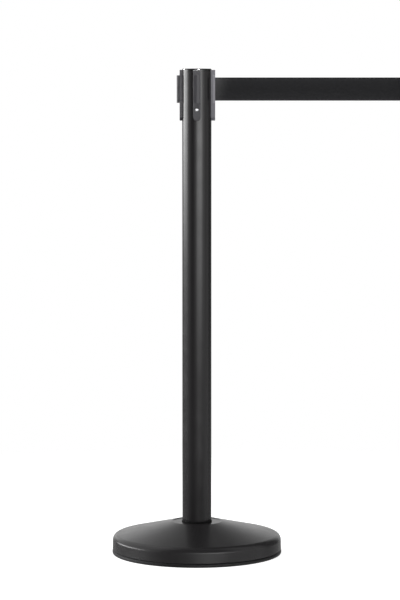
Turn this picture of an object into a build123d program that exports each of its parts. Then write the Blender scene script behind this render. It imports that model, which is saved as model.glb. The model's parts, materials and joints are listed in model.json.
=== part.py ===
from build123d import *
import os
from math import acos, atan, atan2, cos, degrees, hypot, pi, sin, sqrt, tan

# A retractable belt stanchion, in millimetres.
# The origin is the centre of the base on the floor and +Z runs up the post.
# The belt leaves the head along +X. Receivers face -Y (front), -X (left) and +Y (back).

os.makedirs("parts", exist_ok=True)

# ---- Driving dimensions ------------------------------------------------------------------

post_height = 1016.0        # 40 in, floor to the top of the cap
tube_r = 30.5
tube_wall = 1.5
base_r = 177.8              # 14 in over the rubber floor ring

belt_width = 48.0
belt_thickness = 0.55
belt_length = 3050.0        # 10 ft of webbing, from the drum to the clip
belt_z = 973.3              # middle of the belt above the floor
clip_x = 430.0              # near face of the belt clip, with the belt as far out as here

strip_width = 15.0          # the four vertical plates on the head
strip_length = 105.0
strip_face_r = 35.7         # their outer face, from the post's axis
exit_face_r = 38.1          # the belt's own plate stands further out
rail_width = 10.4
rail_height = 57.0
rail_face_r = 41.8
screw_z = 930.8

fit_gap = 0.2               # clearance of one moulded piece inside another
running_gap = 0.05          # radial clearance of a shaft in its bush

# ---- Heights and radii that follow -------------------------------------------------------

bore_r = tube_r - tube_wall
cap_rim = 4.9
cap_joint = 0.2
tube_bottom = 27.0
tube_top = post_height - cap_rim - cap_joint

strip_top = post_height - 3.0
strip_bottom = strip_top - strip_length
rail_bottom = belt_z - rail_height / 2
rail_top = belt_z + rail_height / 2
belt_bottom = belt_z - belt_width / 2
belt_top = belt_z + belt_width / 2

slot_width = 11.0
slot_bottom = 916.0
slot_top = 1006.0
tongue_width = slot_width - 3 * fit_gap

drum_r = 7.0
flange_r = 25.0
belt_wound = belt_length - clip_x
roll_r = sqrt(drum_r**2 + belt_wound * belt_thickness / pi)
print(f"wound belt {belt_wound:.0f} mm on the drum makes a roll of {roll_r:.2f} mm radius")

frame_bottom = 914.0
frame_floor = 3.0
frame_r = bore_r - fit_gap
upright_r = flange_r + 0.4
housing_top = 944.0
top_plate_bottom = rail_top + 0.4
top_plate_top = top_plate_bottom + 2.8
axle_r = 4.0
bush_r = 6.0
bush_flange_r = 7.5
bush_flange = 1.2
headings = {"front": -90, "left": 180, "back": 90}


# ---- Base --------------------------------------------------------------------------------

ring_top = 7.6
ring_ledge = 6.0            # the weight stands this far above the floor
ring_inner_r = 158.0
ring_top_round = 1.6
ring_foot_round = 3.0
weight_r = 168.0

# Rubber ring under the rim: the base stands on it, and its lip guards the cover's edge.
with BuildPart() as floor_ring:
    with BuildSketch(Plane.XZ):
        with BuildLine():
            Polyline(
                (ring_inner_r, 0),
                (base_r, 0),
                (base_r, ring_top),
                (weight_r, ring_top),
                (weight_r, ring_ledge),
                (ring_inner_r, ring_ledge),
                close=True,
            )
        make_face()
    revolve(axis=Axis.Z)
    outer_edges = floor_ring.edges().filter_by(GeomType.CIRCLE).group_by(SortBy.RADIUS)[-1]
    fillet(outer_edges.sort_by(Axis.Z)[-1], ring_top_round)
    lower_edges = floor_ring.edges().filter_by(GeomType.CIRCLE).group_by(Axis.Z)[0]
    fillet(lower_edges.sort_by(SortBy.RADIUS)[-1], ring_foot_round)
floor_ring.part.label = "floor_ring"
export_step(floor_ring.part, "parts/floor_ring.step")

# Cast-iron weight: a disc with a boss that the tube stands in and a recess for the bolt.
weight_top = 22.0
boss_r = 46.0
boss_top = 34.0
recess_r = 24.0
recess_top = 21.0
bolt_r = 8.0
with BuildPart() as base_weight:
    with BuildSketch(Plane.XZ):
        with BuildLine():
            Polyline(
                (bolt_r + 0.6, recess_top),
                (recess_r, recess_top),
                (recess_r, ring_ledge),
                (weight_r, ring_ledge),
                (weight_r, weight_top),
                (boss_r + 8, weight_top),
                (boss_r, boss_top),
                (tube_r + fit_gap, boss_top),
                (tube_r + fit_gap, tube_bottom),
                (bolt_r + 0.6, tube_bottom),
                close=True,
            )
        make_face()
    revolve(axis=Axis.Z)
    rim_edges = base_weight.edges().filter_by(GeomType.CIRCLE).group_by(SortBy.RADIUS)[-1]
    chamfer(rim_edges.sort_by(Axis.Z)[-1], 4.0)
base_weight.part.label = "base_weight"
export_step(base_weight.part, "parts/base_weight.step")

# Spun steel cover: a side that flares to the floor, a round shoulder, a shallow cone and a
# flat dish round the tube, a little lower than the rim that the cone ends in.
cover_thickness = 1.4
cone_angle = atan(0.235)
shoulder_r = 12.0
shoulder_x = 176.9 - shoulder_r
shoulder_z = 29.1
skirt_r = 177.3
skirt_bottom = ring_top + 0.5
dish_rim_r = 52.0
dish_floor_r = 49.5
dish_z = 66.5
cover_hole_r = 32.0


def cone_height(radius, arc_r):
    """Height of a cone tangent to the shoulder arc of radius arc_r, at this radius."""
    start_x = shoulder_x + arc_r * sin(cone_angle)
    start_z = shoulder_z + arc_r * cos(cone_angle)
    return start_z + (start_x - radius) * tan(cone_angle)


shoulder_turn = 90 - degrees(cone_angle)
inner_r = shoulder_r - cover_thickness
dish_under = dish_z - cover_thickness
with BuildPart() as base_cover:
    with BuildSketch(Plane.XZ):
        with BuildLine():
            outer_arc = CenterArc((shoulder_x, shoulder_z), shoulder_r, 0, shoulder_turn)
            inner_arc = CenterArc((shoulder_x, shoulder_z), inner_r, 0, shoulder_turn)
            Polyline(
                outer_arc @ 1,
                (dish_rim_r, cone_height(dish_rim_r, shoulder_r)),
                (dish_floor_r, dish_z),
                (cover_hole_r, dish_z),
                (cover_hole_r, dish_under),
                (dish_floor_r, dish_under),
                (dish_rim_r, cone_height(dish_rim_r, inner_r)),
                inner_arc @ 1,
            )
            Polyline(
                outer_arc @ 0,
                (skirt_r, skirt_bottom + 1.2),
                (skirt_r - 0.7, skirt_bottom),
                (skirt_r - 0.2 - cover_thickness, skirt_bottom),
                inner_arc @ 0,
            )
        make_face()
    revolve(axis=Axis.Z)
    dish_rim = base_cover.edges().filter_by(GeomType.CIRCLE).sort_by(Axis.Z)[-1]
    fillet(dish_rim, 3.0)
base_cover.part.label = "base_cover"
export_step(base_cover.part, "parts/base_cover.step")

# Rubber grommet that closes the cover's hole round the tube and stands up as a low collar.
collar_r = tube_r + 0.9
collar_top = dish_z + 3.1
with BuildPart() as post_gasket:
    with BuildSketch(Plane.XZ):
        with BuildLine():
            Polyline(
                (tube_r, dish_under - 1.5),
                (cover_hole_r, dish_under - 1.5),
                (cover_hole_r, dish_z),
                (collar_r, dish_z),
                (collar_r, collar_top - 0.5),
                (collar_r - 0.4, collar_top),
                (tube_r, collar_top),
                close=True,
            )
        make_face()
    revolve(axis=Axis.Z)
post_gasket.part.label = "post_gasket"
export_step(post_gasket.part, "parts/post_gasket.step")

# Threaded steel plug pressed into the foot of the tube.
plug_top = tube_bottom + 33
with BuildPart() as foot_plug:
    with BuildSketch(Plane.XY.offset(tube_bottom)):
        Circle(bore_r)
        Circle(bolt_r, mode=Mode.SUBTRACT)
    extrude(amount=plug_top - tube_bottom)
    chamfer(foot_plug.edges().filter_by(GeomType.CIRCLE).sort_by(SortBy.RADIUS)[-1], 1.5)
foot_plug.part.label = "foot_plug"
export_step(foot_plug.part, "parts/foot_plug.step")

# Hexagon bolt and washer that pull the post down onto the weight from below.
washer_r = 20.0
washer_thickness = 2.5
bolt_head_height = 10.0
bolt_head_apothem = 12.0
with BuildPart() as base_washer:
    with BuildSketch(Plane.XY.offset(recess_top - washer_thickness)):
        Circle(washer_r)
        Circle(bolt_r + 0.4, mode=Mode.SUBTRACT)
    extrude(amount=washer_thickness)
base_washer.part.label = "base_washer"
export_step(base_washer.part, "parts/base_washer.step")

bolt_seat = recess_top - washer_thickness
with BuildPart() as base_bolt:
    with BuildSketch(Plane.XY.offset(bolt_seat - bolt_head_height)):
        RegularPolygon(bolt_head_apothem, 6, major_radius=False)
    extrude(amount=bolt_head_height)
    with BuildSketch(Plane.XY.offset(bolt_seat)):
        Circle(bolt_r)
    extrude(amount=plug_top - 6 - bolt_seat)
    chamfer(base_bolt.faces().sort_by(Axis.Z)[-1].edges(), 1.2)
base_bolt.part.label = "base_bolt"
export_step(base_bolt.part, "parts/base_bolt.step")


# ---- Post tube ---------------------------------------------------------------------------

slot_length = slot_top - slot_bottom
slot_middle = (slot_top + slot_bottom) / 2
with BuildPart() as post_tube:
    with BuildSketch(Plane.XY.offset(tube_bottom)):
        Circle(tube_r)
        Circle(bore_r, mode=Mode.SUBTRACT)
    extrude(amount=tube_top - tube_bottom)
    with BuildSketch(Plane.XZ, Plane.YZ):
        with Locations((0, slot_middle)):
            SlotOverall(slot_length, slot_width, rotation=90)
    extrude(amount=tube_r + 1, both=True, mode=Mode.SUBTRACT)
post_tube.part.label = "post_tube"
export_step(post_tube.part, "parts/post_tube.step")


# ---- Head cap ----------------------------------------------------------------------------

# A shallow cap with a skirt that drops into the tube and a groove for its seal ring.
plug_bottom = tube_top - 4.2
seal_r = 0.8
seal_z = plug_bottom + 2.2
with BuildPart() as head_cap:
    with BuildSketch(Plane.XZ):
        with BuildLine():
            crown = ThreePointArc(
                (0, post_height),
                ((tube_r - 2) / 2, post_height - 0.1),
                (tube_r - 2, post_height - 0.4),
            )
            edge = TangentArc(crown @ 1, (tube_r, post_height - 2.4), tangent=crown % 1)
            Polyline(
                edge @ 1,
                (tube_r, tube_top + cap_joint),
                (bore_r - 0.1, tube_top + cap_joint),
                (bore_r - 0.1, plug_bottom),
                (bore_r - 2.6, plug_bottom),
                (bore_r - 2.6, post_height - 3),
                (0, post_height - 3),
                (0, post_height),
            )
        make_face()
        with Locations((bore_r - seal_r, seal_z)):
            Circle(seal_r, mode=Mode.SUBTRACT)
    revolve(axis=Axis.Z)
head_cap.part.label = "head_cap"
export_step(head_cap.part, "parts/head_cap.step")

with BuildPart() as cap_seal_ring:
    with BuildSketch(Plane.XZ):
        with Locations((bore_r - seal_r, seal_z)):
            Circle(seal_r)
    revolve(axis=Axis.Z)
cap_seal_ring.part.label = "cap_seal_ring"
export_step(cap_seal_ring.part, "parts/cap_seal_ring.step")


# ---- Receivers ---------------------------------------------------------------------------

head_r = 3.9                # pan head of the plate screws
head_height = 2.4
screw_r = 2.0
sink_r = head_r + 0.4
screw_tip_r = 26.2
neck_width = 5.0
neck_r = 38.9               # the rail's neck ends and its head begins here
rail_edge = 1.0             # thickness of the rail's head at its sides; it rises to a ridge
ridge_round = 1.2
slot_tongue_bottom = slot_bottom + 2
slot_tongue_top = slot_top - 2

# Each receiver is a plate that bridges a slot in the tube, with a T-shaped rail on it
# whose head is a low gable with a rounded ridge.
# The clip of a neighbouring post's belt drops over the rail from above.
for side, heading in headings.items():
    turned = Plane.XY.rotated((0, 0, heading))
    facing = Plane(origin=(0, 0, 0), x_dir=turned.y_dir, z_dir=turned.x_dir)
    with BuildPart() as receiver:
        with BuildSketch(facing):
            with Locations((0, strip_bottom + strip_width / 2)):
                Circle(strip_width / 2)
            with Locations((0, (strip_top + strip_bottom + strip_width / 2) / 2)):
                Rectangle(strip_width, strip_length - strip_width / 2)
        extrude(amount=strip_face_r)
        outer_face = receiver.faces().sort_by(Axis((0, 0, 0), turned.x_dir))[-1]
        fillet(outer_face.edges(), 0.9)
        with BuildSketch(Plane.XY.offset(strip_bottom)):
            Circle(tube_r)
        extrude(amount=strip_length, mode=Mode.SUBTRACT)
        with BuildSketch(turned.offset(slot_tongue_bottom + slot_width / 2)):
            with Locations(((bore_r + tube_r + 1) / 2, 0)):
                Rectangle(tube_r + 1 - bore_r, tongue_width)
        extrude(amount=slot_tongue_top - slot_tongue_bottom - slot_width)
        with BuildSketch(turned.offset(rail_bottom)):
            with BuildLine():
                Polyline(
                    (neck_r + rail_edge, rail_width / 2),
                    (neck_r, rail_width / 2),
                    (neck_r, neck_width / 2),
                    (strip_face_r - 0.5, neck_width / 2),
                    (strip_face_r - 0.5, -neck_width / 2),
                    (neck_r, -neck_width / 2),
                    (neck_r, -rail_width / 2),
                    (neck_r + rail_edge, -rail_width / 2),
                    (rail_face_r, 0),
                    close=True,
                )
            make_face()
        extrude(amount=rail_height)
        ridge = receiver.edges().filter_by(Axis.Z).sort_by(Axis((0, 0, 0), turned.x_dir))[-1]
        fillet(ridge, ridge_round)
        with BuildSketch(facing.offset(strip_face_r)):
            with Locations((0, screw_z)):
                Circle(sink_r)
        extrude(amount=-head_height, mode=Mode.SUBTRACT)
        with BuildSketch(facing):
            with Locations((0, screw_z)):
                Circle(screw_r + fit_gap)
        extrude(amount=strip_face_r, mode=Mode.SUBTRACT)
    receiver.part.label = f"receiver_{side}"
    export_step(receiver.part, f"parts/receiver_{side}.step")


# ---- Belt exit ---------------------------------------------------------------------------

# The fourth plate has no rail: a window in it holds the moulded guide that the belt runs
# out of, flush with the plate's face.
facing_belt = Plane(origin=(0, 0, 0), x_dir=(0, 1, 0), z_dir=(1, 0, 0))
seat_r = 33.5
with BuildPart() as belt_exit_plate:
    with BuildSketch(facing_belt):
        with Locations((0, strip_bottom + strip_width / 2)):
            Circle(strip_width / 2)
        with Locations((0, (strip_top + strip_bottom + strip_width / 2) / 2)):
            Rectangle(strip_width, strip_length - strip_width / 2)
    extrude(amount=exit_face_r)
    fillet(belt_exit_plate.faces().sort_by(Axis.X)[-1].edges(), 0.9)
    with BuildSketch(Plane.XY.offset(strip_bottom)):
        Circle(tube_r)
    extrude(amount=strip_length, mode=Mode.SUBTRACT)
    with BuildSketch(Plane.XY.offset(rail_bottom - fit_gap)):
        with Locations((seat_r + 5, 0)):
            Rectangle(10, strip_width + 2)
        with Locations((seat_r - 2.5, 0)):
            Rectangle(7, tongue_width + 2 * fit_gap)
    extrude(amount=rail_height + 2 * fit_gap, mode=Mode.SUBTRACT)
    with BuildSketch(facing_belt.offset(exit_face_r)):
        with Locations((0, screw_z)):
            Circle(sink_r)
    extrude(amount=strip_face_r - head_height - exit_face_r, mode=Mode.SUBTRACT)
    with BuildSketch(facing_belt):
        with Locations((0, screw_z)):
            Circle(screw_r + fit_gap)
    extrude(amount=exit_face_r, mode=Mode.SUBTRACT)
belt_exit_plate.part.label = "belt_exit_plate"
export_step(belt_exit_plate.part, "parts/belt_exit_plate.step")

# The guide: a mouth around two smooth pins, then a narrow slot with rounded lips.
pin_r = 1.6
pin_x = 30.6
pin_y = pin_r + belt_thickness / 2 + 0.08
pin_bottom = belt_bottom - 3.5
pin_top = belt_top + 3.5
guide_inner = 27.6
mouth_end = 32.8
mouth_height = belt_width + 3
with BuildPart() as belt_exit_guide:
    with BuildSketch(Plane.XY.offset(rail_bottom)):
        with Locations(((seat_r + exit_face_r) / 2 + 0.05, 0)):
            Rectangle(exit_face_r - seat_r - 0.1, strip_width + 0.4)
        with Locations(((guide_inner + seat_r + 1) / 2, 0)):
            Rectangle(seat_r + 1 - guide_inner, tongue_width)
    extrude(amount=rail_height)
    fillet(belt_exit_guide.faces().sort_by(Axis.X)[-1].edges().filter_by(Axis.Z), 1.0)
    with BuildSketch(Plane.YZ.offset(guide_inner)):
        with Locations((0, belt_z)):
            Rectangle(2 * (pin_y + pin_r) + 0.3, mouth_height)
    extrude(amount=mouth_end - guide_inner, mode=Mode.SUBTRACT)
    with BuildSketch(Plane.YZ.offset(mouth_end)):
        with Locations((0, belt_z)):
            RectangleRounded(3.0, mouth_height, 1.4)
    extrude(amount=exit_face_r - mouth_end, mode=Mode.SUBTRACT)
    lips = belt_exit_guide.faces().sort_by(Axis.X)[-1].inner_wires()[0].edges()
    fillet(lips, 0.8)
    with BuildSketch(Plane.XY.offset(pin_bottom)):
        with Locations((pin_x, pin_y), (pin_x, -pin_y)):
            Circle(pin_r)
    extrude(amount=pin_top - pin_bottom, mode=Mode.SUBTRACT)
belt_exit_guide.part.label = "belt_exit_guide"
export_step(belt_exit_guide.part, "parts/belt_exit_guide.step")

for side, offset_y in {"front": -pin_y, "back": pin_y}.items():
    with BuildPart() as guide_pin:
        with BuildSketch(Plane.XY.offset(pin_bottom)):
            with Locations((pin_x, offset_y)):
                Circle(pin_r)
        extrude(amount=pin_top - pin_bottom)
    guide_pin.part.label = f"guide_pin_{side}"
    export_step(guide_pin.part, f"parts/guide_pin_{side}.step")

# Four pan-head screws with a cross recess, one through the foot of each plate.
head_seat_r = strip_face_r - head_height
with BuildPart() as plate_screws:
    for heading in (0, 90, 180, 270):
        turned = Plane.XY.rotated((0, 0, heading))
        facing = Plane(origin=(0, 0, screw_z), x_dir=turned.y_dir, z_dir=turned.x_dir)
        with BuildSketch(facing.offset(head_seat_r)):
            Circle(head_r)
        extrude(amount=head_height - 0.1)
        rims = plate_screws.faces().sort_by(Axis((0, 0, 0), turned.x_dir))[-1].edges()
        fillet(rims, 1.3)
        with BuildSketch(facing.offset(head_seat_r + head_height - 1.5)):
            Rectangle(4.2, 0.9)
            Rectangle(0.9, 4.2)
        extrude(amount=2, mode=Mode.SUBTRACT)
        with BuildSketch(facing.offset(screw_tip_r)):
            Circle(screw_r)
        extrude(amount=head_seat_r - screw_tip_r)
plate_screws.part.label = "plate_screws"
export_step(plate_screws.part, "parts/plate_screws.step")


# ---- Belt cassette inside the head -------------------------------------------------------

# Moulded frame: a cup for the spring, with four uprights that carry the top plate.
cup_r = upright_r - 1.0
lid_thickness = 2.0
cassette_screw_r = 1.1
cassette_screw_head_r = 1.8
cassette_screw_x = (upright_r + frame_r) / 2
cassette_screw_length = 9.0
upright_width = 11.0
with BuildPart() as cassette_frame:
    with BuildSketch(Plane.XY.offset(frame_bottom)):
        Circle(frame_r)
        Circle(bush_r, mode=Mode.SUBTRACT)
    extrude(amount=frame_floor)
    with BuildSketch(Plane.XY.offset(frame_bottom + frame_floor)):
        Circle(frame_r)
        Circle(cup_r, mode=Mode.SUBTRACT)
    extrude(amount=housing_top - frame_bottom - frame_floor)
    with BuildSketch(Plane.XY.offset(housing_top - lid_thickness)):
        Circle(upright_r - 0.2)
    extrude(amount=lid_thickness, mode=Mode.SUBTRACT)
    with BuildSketch(Plane.XY.offset(housing_top)):
        Rectangle(3 * frame_r, upright_width, rotation=45)
        Rectangle(3 * frame_r, upright_width, rotation=-45)
        Circle(upright_r, mode=Mode.SUBTRACT)
        Circle(frame_r, mode=Mode.INTERSECT)
    extrude(amount=top_plate_bottom - housing_top)
    with BuildSketch(Plane.XY.offset(top_plate_bottom)):
        with PolarLocations(cassette_screw_x, 4, start_angle=45):
            Circle(cassette_screw_r)
    extrude(amount=-(cassette_screw_length - 2), mode=Mode.SUBTRACT)
    with BuildSketch(Plane.XZ, Plane.YZ):
        with Locations((0, screw_z)):
            Circle(screw_r)
    extrude(amount=frame_r + 1, both=True, mode=Mode.SUBTRACT)
cassette_frame.part.label = "cassette_frame"
export_step(cassette_frame.part, "parts/cassette_frame.step")

# Thin lid that closes the spring's cup under the spool.
hub_r = 5.5
with BuildPart() as spring_lid:
    with BuildSketch(Plane.XY.offset(housing_top - lid_thickness)):
        Circle(upright_r - 0.3)
        Circle(hub_r + 0.6, mode=Mode.SUBTRACT)
    extrude(amount=lid_thickness)
spring_lid.part.label = "spring_lid"
export_step(spring_lid.part, "parts/spring_lid.step")

with BuildPart() as cassette_top_plate:
    with BuildSketch(Plane.XY.offset(top_plate_bottom)):
        Circle(frame_r)
        Circle(bush_r, mode=Mode.SUBTRACT)
        with PolarLocations(cassette_screw_x, 4, start_angle=45):
            Circle(cassette_screw_r, mode=Mode.SUBTRACT)
    extrude(amount=top_plate_top - top_plate_bottom)
cassette_top_plate.part.label = "cassette_top_plate"
export_step(cassette_top_plate.part, "parts/cassette_top_plate.step")

with BuildPart() as cassette_screws:
    with BuildSketch(Plane.XY.offset(top_plate_top)):
        with PolarLocations(cassette_screw_x, 4, start_angle=45):
            Circle(cassette_screw_head_r)
    extrude(amount=1.3)
    with BuildSketch(Plane.XY.offset(top_plate_top)):
        with PolarLocations(cassette_screw_x, 4, start_angle=45):
            Circle(cassette_screw_r)
    extrude(amount=-cassette_screw_length)
cassette_screws.part.label = "cassette_screws"
export_step(cassette_screws.part, "parts/cassette_screws.step")

# Flanged bushes in the frame's floor and in the top plate.
bush_bore_r = axle_r + running_gap
floor_top = frame_bottom + frame_floor
with BuildPart() as lower_bush:
    with BuildSketch(Plane.XY.offset(frame_bottom)):
        Circle(bush_r)
        Circle(bush_bore_r, mode=Mode.SUBTRACT)
    extrude(amount=frame_floor)
    with BuildSketch(Plane.XY.offset(floor_top)):
        Circle(bush_flange_r)
        Circle(bush_bore_r, mode=Mode.SUBTRACT)
    extrude(amount=bush_flange)
lower_bush.part.label = "lower_bush"
export_step(lower_bush.part, "parts/lower_bush.step")

with BuildPart() as upper_bush:
    with BuildSketch(Plane.XY.offset(top_plate_bottom)):
        Circle(bush_r)
        Circle(bush_bore_r, mode=Mode.SUBTRACT)
    extrude(amount=top_plate_top - top_plate_bottom)
    with BuildSketch(Plane.XY.offset(top_plate_bottom)):
        Circle(bush_flange_r)
        Circle(bush_bore_r, mode=Mode.SUBTRACT)
    extrude(amount=-bush_flange)
upper_bush.part.label = "upper_bush"
export_step(upper_bush.part, "parts/upper_bush.step")

# Steel axle with its retaining ring below the frame.
clip_groove_z = frame_bottom - 1.4
with BuildPart() as spool_axle:
    with BuildSketch(Plane.XY.offset(clip_groove_z - 1.6)):
        Circle(axle_r)
    extrude(amount=top_plate_top - clip_groove_z + 1.6)
    with BuildSketch(Plane.XY.offset(clip_groove_z)):
        Circle(axle_r)
        Circle(axle_r - 0.7, mode=Mode.SUBTRACT)
    extrude(amount=1.0, mode=Mode.SUBTRACT)
spool_axle.part.label = "spool_axle"
export_step(spool_axle.part, "parts/spool_axle.step")

with BuildPart() as axle_clip:
    with BuildSketch(Plane.XY.offset(clip_groove_z)):
        Circle(axle_r + 2.5)
        Circle(axle_r - 0.7, mode=Mode.SUBTRACT)
        with Locations((axle_r, 0)):
            Rectangle(2 * axle_r, 3.4, mode=Mode.SUBTRACT)
    extrude(amount=1.0)
axle_clip.part.label = "axle_clip"
export_step(axle_clip.part, "parts/axle_clip.step")

# Moulded spool: a drum between two flanges, with a hub that reaches down into the spring.
flange_thickness = 1.2
flange_gap = 0.5
lower_flange = belt_bottom - flange_gap - flange_thickness
upper_flange = belt_top + flange_gap
hub_bottom = floor_top + bush_flange + 0.4
hub_top = top_plate_bottom - bush_flange - 0.4
with BuildPart() as spool_drum:
    with BuildSketch(Plane.XY.offset(hub_bottom)):
        Circle(hub_r)
        Circle(axle_r, mode=Mode.SUBTRACT)
    extrude(amount=hub_top - hub_bottom)
    with BuildSketch(Plane.XY.offset(lower_flange)):
        Circle(drum_r)
        Circle(axle_r, mode=Mode.SUBTRACT)
    extrude(amount=upper_flange + flange_thickness - lower_flange)
    with BuildSketch(Plane.XY.offset(lower_flange), Plane.XY.offset(upper_flange)):
        Circle(flange_r)
        Circle(drum_r - 0.5, mode=Mode.SUBTRACT)
    extrude(amount=flange_thickness)
spool_drum.part.label = "spool_drum"
export_step(spool_drum.part, "parts/spool_drum.step")

with BuildPart() as belt_roll:
    with BuildSketch(Plane.XY.offset(belt_bottom)):
        Circle(roll_r)
        Circle(drum_r, mode=Mode.SUBTRACT)
    extrude(amount=belt_width)
belt_roll.part.label = "belt_roll"
export_step(belt_roll.part, "parts/belt_roll.step")

# Spiral spring of half turns: every half turn's centre steps aside by half a pitch, so the
# radii grow by that step and the strip stays smooth.
spring_strip = 0.4
spring_height = 20.0
spring_half_turns = 18
spring_start_r = hub_r + spring_strip / 2
spring_step = (cup_r - spring_strip / 2 - spring_start_r) / spring_half_turns
with BuildPart() as retract_spring:
    with BuildSketch(Plane.XY.offset(floor_top + 2.5)):
        with BuildLine():
            for half in range(spring_half_turns):
                centre_x = spring_step * (half % 2)
                middle_r = spring_start_r + half * spring_step
                first_angle = 180 * (half % 2)
                CenterArc((centre_x, 0), middle_r - spring_strip / 2, first_angle, 180)
                CenterArc((centre_x, 0), middle_r + spring_strip / 2, first_angle, 180)
            Line((spring_start_r - spring_strip / 2, 0), (spring_start_r + spring_strip / 2, 0))
            end_x = centre_x + middle_r
            Line((end_x - spring_strip / 2, 0), (end_x + spring_strip / 2, 0))
        make_face()
    extrude(amount=spring_height)
retract_spring.part.label = "retract_spring"
export_step(retract_spring.part, "parts/retract_spring.step")


# ---- Belt --------------------------------------------------------------------------------

# The webbing leaves the roll on a line tangent to the roll and to the front guide pin,
# turns round the pin and runs straight out along +X to a sewn loop in the clip.
anchor_x = clip_x + 7.5
anchor_r = 1.5
loop_r = anchor_r + belt_thickness / 2 + 0.05
wrap_r = roll_r + belt_thickness / 2
turn_r = pin_r + belt_thickness / 2 + 0.03
pin_distance = hypot(pin_x, pin_y)
leave_angle = degrees(atan2(-pin_y, pin_x) - acos((wrap_r + turn_r) / pin_distance))
leave_point = Vector(wrap_r, 0).rotate(Axis.Z, leave_angle)
meet_point = Vector(pin_x, -pin_y) - Vector(turn_r, 0).rotate(Axis.Z, leave_angle)
belt_y = turn_r - pin_y
print(f"belt leaves the roll at {leave_angle:.1f} degrees and runs out at y = {belt_y:.2f}")
with BuildPart() as belt_webbing:
    with BuildSketch(Plane.XY.offset(belt_bottom)):
        with BuildLine() as belt_path:
            Line(leave_point, meet_point)
            CenterArc((pin_x, -pin_y), turn_r, 90, leave_angle + 90)
            Line((pin_x, belt_y), (anchor_x - loop_r, belt_y))
        trace(belt_path.line, belt_thickness)
        with Locations((anchor_x, 0)):
            Circle(loop_r + belt_thickness / 2)
            Circle(loop_r - belt_thickness / 2, mode=Mode.SUBTRACT)
    extrude(amount=belt_width)
belt_webbing.part.label = "belt_webbing"
export_step(belt_webbing.part, "parts/belt_webbing.step")


# ---- Belt clip ---------------------------------------------------------------------------

clip_depth = 22.0
clip_width = 18.0
clip_bottom = rail_bottom - 7.0
clip_top = rail_top + 3.4
clip_far = clip_x + clip_depth
lip = 2.9
channel_depth = 4.5
channel_width = rail_width + 0.8
mouth_width = neck_width + 0.9
channel_back = clip_far - lip - channel_depth
clip_height = clip_top - clip_bottom
clip_middle = (clip_top + clip_bottom) / 2
clip_screw_x = clip_x + 11.5
clip_screw_heights = (clip_bottom + 12, clip_middle + 6, clip_top - 7)
clip_screw_r = 1.25
clip_screw_head_r = 2.3
clip_screw_head = 1.4
clip_screw_sink = 1.8
anchor_overhang = 3.5       # the pin sits in the shells by this much above and below the belt
pocket_start = clip_x + 4.0
pocket_bottom = clip_bottom + 1.3
pocket_top = rail_bottom - 0.6
pocket_width = 8.0
latch_travel = 2.6
tab_length = 4.0
tab_start = channel_back - tab_length - 0.8

# Two mirrored shells that close round the belt's loop, screwed together from the front.
for side, keep_half in {"front": Keep.BOTTOM, "back": Keep.TOP}.items():
    with BuildPart() as clip_shell:
        with BuildSketch(Plane.XY.offset(clip_bottom)):
            with Locations((clip_x + clip_depth / 2, 0)):
                RectangleRounded(clip_depth, clip_width, 3.0)
        extrude(amount=clip_height)
        fillet(clip_shell.faces().sort_by(Axis.Z)[-1].edges(), 1.4)
        fillet(clip_shell.faces().sort_by(Axis.Z)[0].edges(), 0.8)
        with BuildSketch(Plane.XY.offset(clip_bottom)):
            with Locations((channel_back + channel_depth / 2, 0)):
                Rectangle(channel_depth, channel_width)
            with Locations((clip_far - lip, 0)):
                Rectangle(4 * lip, mouth_width)
        extrude(amount=rail_top + 0.3 - clip_bottom, mode=Mode.SUBTRACT)
        with BuildSketch(Plane.XY.offset(belt_bottom - 0.8)):
            with Locations((clip_x + 3, 0)):
                Rectangle(8, 1.6)
            with Locations((anchor_x, 0)):
                Circle(loop_r + 0.8)
        extrude(amount=belt_width + 1.6, mode=Mode.SUBTRACT)
        with BuildSketch(Plane.XY.offset(belt_bottom - anchor_overhang)):
            with Locations((anchor_x, 0)):
                Circle(anchor_r)
        extrude(amount=belt_width + 2 * anchor_overhang, mode=Mode.SUBTRACT)
        with BuildSketch(Plane.XY.offset(pocket_bottom)):
            with Locations(((pocket_start + channel_back) / 2 + 0.5, 0)):
                Rectangle(channel_back - pocket_start + 1, pocket_width + 0.6)
        extrude(amount=pocket_top - pocket_bottom, mode=Mode.SUBTRACT)
        with BuildSketch(Plane.XY.offset(clip_bottom)):
            with Locations((tab_start + (tab_length - latch_travel) / 2, 0)):
                Rectangle(tab_length + latch_travel + 0.8, pocket_width + 0.6)
        extrude(amount=pocket_bottom - clip_bottom, mode=Mode.SUBTRACT)
        with BuildSketch(Plane.XZ.offset(clip_width / 2)):
            with Locations(*[(clip_screw_x, height) for height in clip_screw_heights]):
                Circle(clip_screw_r)
        extrude(amount=-(clip_width - 2), mode=Mode.SUBTRACT)
        with BuildSketch(Plane.XZ.offset(clip_width / 2)):
            with Locations(*[(clip_screw_x, height) for height in clip_screw_heights]):
                Circle(clip_screw_head_r + fit_gap)
        extrude(amount=-clip_screw_sink, mode=Mode.SUBTRACT)
        split(bisect_by=Plane.XZ, keep=keep_half)
    clip_shell.part.label = f"clip_shell_{side}"
    export_step(clip_shell.part, f"parts/clip_shell_{side}.step")

with BuildPart() as clip_screws:
    with BuildSketch(Plane.XZ.offset(clip_width / 2 - clip_screw_sink)):
        with Locations(*[(clip_screw_x, height) for height in clip_screw_heights]):
            Circle(clip_screw_head_r)
    extrude(amount=clip_screw_head)
    with BuildSketch(Plane.XZ.offset(clip_width / 2 - clip_screw_sink)):
        with Locations(*[(clip_screw_x, height) for height in clip_screw_heights]):
            Circle(clip_screw_r)
    extrude(amount=-(clip_width - 5))
clip_screws.part.label = "clip_screws"
export_step(clip_screws.part, "parts/clip_screws.step")

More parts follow.
